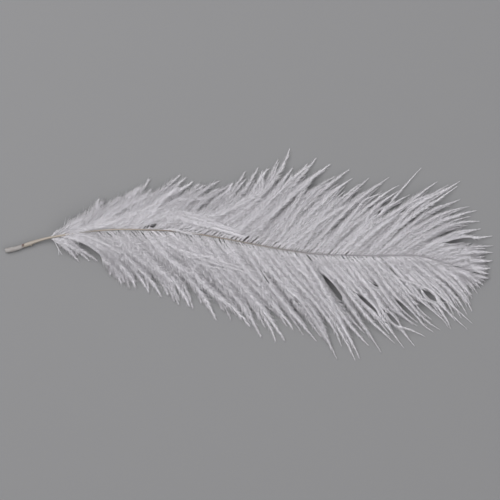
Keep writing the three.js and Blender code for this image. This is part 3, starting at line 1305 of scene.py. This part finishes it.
    def push(self, parting: Row, points: Array, side: Array, depth: float) -> Array:
        """Push points out of one parting.

        Args:
            parting: The parting.
            points: The points, in metres.
            side: 1 or -1 for each point, the side that it is pushed to.
            depth: How far on the wrong side a point may lie and still be pushed, in half widths.

        Returns:
            The points, with those in the parting on their own side of it.
        """
        u, v, across = self.beside(parting, points)
        margin = self.parting_margin
        room = np.sqrt(np.clip(1 - u * u, 0, 1))
        beyond = v * side
        pushed = np.where(beyond > 0, room + beyond * (margin - room) / margin, room)
        inside = (np.abs(u) < 1) & (beyond > -depth) & (beyond < margin)
        shift = np.where(inside, pushed - beyond, 0) * side * parting[PARTING_WIDTH] * MM
        moved = points.copy()
        moved[..., :2] += shift[..., None] * across
        return moved


@dataclass
class Strands:
    """Thin closed strands, kept as arrays until they are joined in one mesh."""

    points: list[Array]
    faces: list[Array]
    tones: list[Array]
    count: int = 0

    def add(self, points: Array, faces: Array, tones: Array) -> None:
        """Add points, the triangles between them, and their tones.

        Args:
            points: The points.
            faces: Triangles, as places in this lot of points.
            tones: The tone of each point.
        """
        self.points.append(points)
        self.faces.append(faces + self.count)
        self.tones.append(tones)
        self.count += len(points)

    def mesh(self, name: str) -> bpy.types.Mesh:
        """Join everything in one mesh with a tone attribute.

        Args:
            name: The mesh's name.

        Returns:
            The mesh.
        """
        points, faces = np.concatenate(self.points), np.concatenate(self.faces)
        mesh = bpy.data.meshes.new(name)
        mesh.vertices.add(len(points))
        mesh.vertices.foreach_set("co", points.astype(np.float32).ravel())
        mesh.loops.add(faces.size)
        mesh.loops.foreach_set("vertex_index", faces.astype(np.int32).ravel())
        mesh.polygons.add(len(faces))
        mesh.polygons.foreach_set("loop_start", np.arange(0, faces.size, 3, dtype=np.int32))
        mesh.update(calc_edges=True)
        write_values(mesh, TONE, np.concatenate(self.tones))
        return mesh


@dataclass
class Down:
    """One stretch of a vane: its barbs and all their barbules, joined in one mesh."""

    vane: Vane
    barbs: Barbs
    name: str
    node: str
    seed: int
    # Radius of a ramus: what its flared root adds, the body and the tip.
    ramus_radius: Row = (0.07 * MM, 0.06 * MM, 0.025 * MM)
    ramus_thinning: ByFluff = (1.0, -0.4)
    ramus_rings: int = 12
    ring_crowding: float = 1.3
    root_flare: float = 12.0
    ramus_sides: Row = (90.0, 210.0, 330.0)
    barbule_spacing: float = 0.185 * MM
    fewest_barbules: int = 6
    barbule_growth: Range = (0.3, 1.25)
    barbule_height: float = 0.03 * MM
    widest_at: float = 0.4
    full_barb: float = 18.0 * MM
    least_growth: float = 0.3
    droop: float = 2.5
    overlap: ByFluff = (8.0, -4.0)
    lean_scatter: ByFluff = (7.0, 8.0)
    rise_scatter: ByFluff = (7.0, 9.0)
    # How much lighter a sleek barbule is than its barb, at its base, both sides and tip, as painted
    # light and shade:
    # lighter by the ramus and darker at the tips, where shade falls between the barbs.
    painted_barbule_shade: Row = (0.16, 0.0, 0.0, -0.3)
    painted_barbule_shade_share: ByFluff = (1.0, -0.7)
    tone_scatter: float = 0.06
    bare_root: float = 6.0 * MM
    bare_share: ByFluff = (0.75, 0.5)
    bare_power: ByFluff = (1.0, 0.5)
    # Share of their length that barbules keep at a bare root, in the feather's body and near its tip.
    stubs: Range = (0.17, 0.04)
    heading_reach: float = 0.02
    floor: float = 0.03 * MM
    ceiling: float = 10.5 * MM

    def build(self, material: bpy.types.Material) -> None:
        """Grow the barbs and dress the piece.

        Args:
            material: The finish of the down.
        """
        rng = np.random.default_rng(SEED + self.seed)
        strands = Strands([], [], [])
        self.grow_stems(strands)
        self.grow_barbules(strands, rng)
        finish_piece(strands.mesh(self.name), self.name, material, self.node)

    def grow_stems(self, strands: Strands) -> None:
        """Grow the ramus of each barb as a three-sided tapering stem.

        Args:
            strands: Where the stems are added.
        """
        count, rings, sides = len(self.barbs.lines), self.ramus_rings, len(self.ramus_sides)
        steps = np.linspace(0, 1, rings) ** self.ring_crowding
        centre = self.at(np.repeat(np.arange(count), rings), np.tile(steps, count))
        centre = centre.reshape(count, rings, 3)
        along = unit(np.gradient(centre, axis=1))
        across = unit(np.cross(along, UP))
        above = np.cross(across, along)
        base, body, tip = self.ramus_radius
        radius = tip + (body - tip) * (1 - steps) + base * np.exp(-self.root_flare * steps)
        radius = radius * with_fluff(self.ramus_thinning, self.barbs.fluff)[:, None]
        ring = [
            centre + radius[..., None] * (math.cos(turn) * across + math.sin(turn) * above)
            for turn in np.radians(self.ramus_sides)
        ]
        points = np.stack(ring, axis=2)
        index = np.arange(count * rings * sides).reshape(count, rings, sides)
        near, far = index[:, :-1], index[:, 1:]
        near_next, far_next = np.roll(near, -1, axis=2), np.roll(far, -1, axis=2)
        walls = [
            np.stack([near, near_next, far_next], axis=-1),
            np.stack([near, far_next, far], axis=-1),
        ]
        caps = [index[:, 0, ::-1], index[:, -1]]
        faces = np.concatenate([wall.reshape(-1, 3) for wall in [*walls, *caps]])
        points[..., 2] = np.clip(points[..., 2], self.floor, self.ceiling)
        tones = np.repeat(np.clip(self.barbs.tone, 0, 1), rings * sides)
        strands.add(points.reshape(-1, 3), faces, tones)

    def at(self, barb: Array, step: Array) -> Array:
        """Give points on barbs, a share of the way along each.

        Args:
            barb: Which barb each point is on.
            step: How far along it each point is, from 0 to 1.

        Returns:
            The points.
        """
        where = np.clip(step, 0, 1) * (LINE_POINTS - 1)
        before = np.minimum(where.astype(int), LINE_POINTS - 2)
        part = (where - before)[:, None]
        return self.barbs.lines[barb, before] * (1 - part) + self.barbs.lines[barb, before + 1] * part

    def heading(self, barb: Array, step: Array) -> Array:
        """Give the way that barbs run, a share of the way along each.

        Args:
            barb: Which barb is asked for.
            step: How far along it, from 0 to 1.

        Returns:
            Vectors of length 1, towards the tips.
        """
        reach = self.heading_reach
        step = np.clip(step, reach, 1 - reach)
        return unit(self.at(barb, step + reach) - self.at(barb, step - reach))

    def profile(self, step: Array, fluff: Array, column: int) -> Array:
        """Read one column of the barbule tables, sleek or fluffy or between the two.

        Args:
            step: How far along its barb each barbule is, from 0 to 1.
            fluff: How fluffy its barb is, from 0 to 1.
            column: Which column.

        Returns:
            The value for each barbule.
        """
        sleek, fluffy = np.array(SLEEK_BARBULES), np.array(FLUFFY_BARBULES)
        straight = np.interp(step, sleek[:, 0], sleek[:, column])
        return straight * (1 - fluff) + np.interp(step, fluffy[:, 0], fluffy[:, column]) * fluff

    def grow_barbules(self, strands: Strands, rng: np.random.Generator) -> None:
        """Grow the barbules, thin closed spikes on both sides of each ramus.

        Args:
            strands: Where the barbules are added.
            rng: The source of all chance.
        """
        vane, roots = self.vane, self.barbs.roots
        length = np.linalg.norm(np.diff(self.barbs.lines, axis=1), axis=-1).sum(axis=1)
        per_barb = (2 * length / self.barbule_spacing).astype(int)
        per_barb = np.maximum(self.fewest_barbules, per_barb)
        barb = np.repeat(np.arange(len(length)), per_barb)
        total = len(barb)
        order = np.arange(total) - np.repeat(np.cumsum(per_barb) - per_barb, per_barb)
        step = (order + rng.uniform(0, 1, total)) / per_barb[barb]
        side = np.where(rng.random(total) < 0.5, 1.0, -1.0)
        fluff = self.barbs.fluff[barb]
        grown = self.profile(step, fluff, BARBULE_LENGTH) * MM
        grown *= self.barbs.fullness[barb] * rng.uniform(*self.barbule_growth, total)
        grown *= np.clip(length[barb] / self.full_barb, self.least_growth, 1)
        bare = self.bare_root * with_fluff(self.bare_share, fluff)
        body_stub, tip_stub = self.stubs
        stub = body_stub + (tip_stub - body_stub) * vane.near_tip(roots)[barb]
        past_bare = smooth_step(step * length[barb] / bare) ** with_fluff(self.bare_power, fluff)
        grown *= stub + (1 - stub) * past_bare
        fuzz = fluff * vane.fuzz
        lean = self.profile(step, fluff, BARBULE_LEAN)
        lean = np.radians(lean + rng.normal(0, 1, total) * with_fluff(self.lean_scatter, fuzz))
        tilt = with_fluff(self.overlap, fluff) * -vane.side.value * side - self.droop
        rise = np.radians(rng.normal(0, 1, total) * with_fluff(self.rise_scatter, fuzz) + tilt)
        base = self.at(barb, step)
        along = self.heading(barb, step)
        across = unit(np.cross(UP, along))
        above = np.cross(along, across)
        sideways = across * (side * np.cos(rise))[:, None] + above * np.sin(rise)[:, None]
        onward = along * np.cos(lean)[:, None] + sideways * np.sin(lean)[:, None]
        tip = vane.part(base + onward * grown[:, None], base)
        middle = base + (tip - base) * self.widest_at + above * self.barbule_height
        width = self.profile(step, fluff, BARBULE_WIDTH) * MM / 2
        right = unit(np.cross(onward, above)) * width[:, None]
        corners = np.stack([base, middle - right, middle + right, tip], axis=1)
        start = np.arange(total)[:, None] * corners.shape[1]
        faces = np.concatenate([start + np.array(corner) for corner in SPIKE_FACES])
        corners[..., 2] = np.clip(corners[..., 2], self.floor, self.ceiling)
        shade = self.barbs.tone[barb] + rng.normal(0, self.tone_scatter, total)
        # Painted light and shade along each barbule: lighter by the ramus, darker at its tip.
        painted_barbule_shade = np.array(self.painted_barbule_shade) * with_fluff(self.painted_barbule_shade_share, fluff)[:, None]
        strands.add(corners.reshape(-1, 3), faces, np.clip(shade[:, None] + painted_barbule_shade, 0, 1).ravel())


# ---- Stage ----


@dataclass
class Studio:
    """A pale floor, soft light and a camera that looks straight down."""

    frame_width: float = 255.85 * MM
    centre: tuple[float, float] = (0.36 * MM, 2.3 * MM)
    camera_height: float = 1.5
    sensor: float = 36.0
    view_depth: float = 20.0
    floor_size: float = 6.0
    floor_cells: int = 8
    floor_tone: float = 0.5
    light_size: float = 1.2
    key_place: Row = (-0.5, 0.5, 1.25)
    key_power: float = 23.5
    fill_place: Row = (0.8, -0.7, 1.0)
    fill_power: float = 5.5
    sky: float = 0.42
    sky_colour: Row = (1.0, 1.0, 1.0, 1.0)

    def build(self, floor_material: bpy.types.Material) -> None:
        """Lay the floor, hang the lights and place the camera.

        Args:
            floor_material: The finish of the floor.
        """
        self.lay_floor(floor_material)
        self.add_light("key", self.key_place, self.key_power)
        self.add_light("fill", self.fill_place, self.fill_power)
        self.light_sky()
        self.place_camera()

    def lay_floor(self, material: bpy.types.Material) -> None:
        """Lay a large plain floor at z = 0.

        Args:
            material: The finish of the floor.
        """
        shape = bmesh.new()
        cells = self.floor_cells
        bmesh.ops.create_grid(shape, x_segments=cells, y_segments=cells, size=self.floor_size / 2)
        mesh = to_mesh(shape, "floor", np.full(len(shape.verts), self.floor_tone))
        mesh.materials.append(material)
        floor = bpy.data.objects.new("floor", mesh)
        bpy.context.scene.collection.objects.link(floor)

    def add_light(self, name: str, place: Row, power: float) -> None:
        """Hang one square area light that faces the feather.

        Args:
            name: The light's name.
            place: Its x, y, z.
            power: Its power in watts.
        """
        lamp = bpy.data.lights.new(name, "AREA")
        lamp.size = self.light_size
        lamp.energy = power
        light = bpy.data.objects.new(name, lamp)
        light.location = place
        light.rotation_euler = (-Vector(place)).to_track_quat("-Z", "Y").to_euler()
        bpy.context.scene.collection.objects.link(light)

    def light_sky(self) -> None:
        """Fill the room with even white light."""
        world = bpy.data.worlds.new("studio")
        world.use_nodes = True
        background = world.node_tree.nodes["Background"]
        background.inputs["Color"].default_value = self.sky_colour
        background.inputs["Strength"].default_value = self.sky
        bpy.context.scene.world = world

    def place_camera(self) -> None:
        """Place the camera straight above the feather, its top edge towards +Y."""
        lens = bpy.data.cameras.new("camera")
        lens.sensor_width = self.sensor
        lens.lens = self.sensor * self.camera_height / self.frame_width
        lens.clip_end = self.view_depth
        camera = bpy.data.objects.new("camera", lens)
        camera.location = (*self.centre, self.camera_height)
        bpy.context.scene.collection.objects.link(camera)
        bpy.context.scene.camera = camera


# ---- The feather ----

# The pieces of down: name, which vane, the plain solid it stands for, first and last x of its roots.
STRETCHES: tuple[tuple[str, int, str, float, float], ...] = (
    ("left_vane_base", 0, "left_vane", -110, -38),
    ("left_vane_middle", 0, "left_vane", -38, 22),
    ("left_vane_tip", 0, "left_vane", 22, 120),
    ("right_vane_base", 1, "right_vane", -110, -44),
    ("right_vane_middle", 1, "right_vane", -44, 26),
    ("right_vane_tip", 1, "right_vane", 26, 120),
    ("right_base_lobe", 2, "right_base_down", -110, -90),
)


def main() -> None:
    """Build the feather and its stage."""
    logging.basicConfig(level=logging.INFO, format="%(name)s %(message)s")
    bpy.context.scene.view_settings.view_transform = "Standard"
    mottle = mottle_group()
    down, horn, skin, floor = (finish.material(mottle) for finish in (DOWN, HORN, SKIN, FLOOR))
    line = ShaftLine()
    Shaft(line).build(horn)
    RootSheath(line).build(skin)
    left = Vane(Side.LEFT, LEFT_TUFTS, LEFT_STRAYS, LEFT_PARTINGS, line, seed=1)
    right = Vane(Side.RIGHT, RIGHT_TUFTS, RIGHT_STRAYS, RIGHT_PARTINGS, line, seed=2, fuzz=0.85)
    lobe = Vane(
        Side.RIGHT,
        RIGHT_BASE_TUFTS,
        BASE_STRAYS,
        BASE_PARTINGS,
        line,
        seed=3,
        spacing=0.3 * MM,
        bundle=0,
        scatter=0.12 * MM,
        fullness=0.6,
    )
    vanes = (left, right, lobe)
    grown = [vane.grow() for vane in vanes]
    for seed, (name, index, node, first, last) in enumerate(STRETCHES, FIRST_DOWN_SEED):
        barbs = grown[index].between(first * MM, last * MM)
        Down(vanes[index], barbs, name, node, seed).build(down)
    Studio().build(floor)


if __name__ == "__main__":
    main()
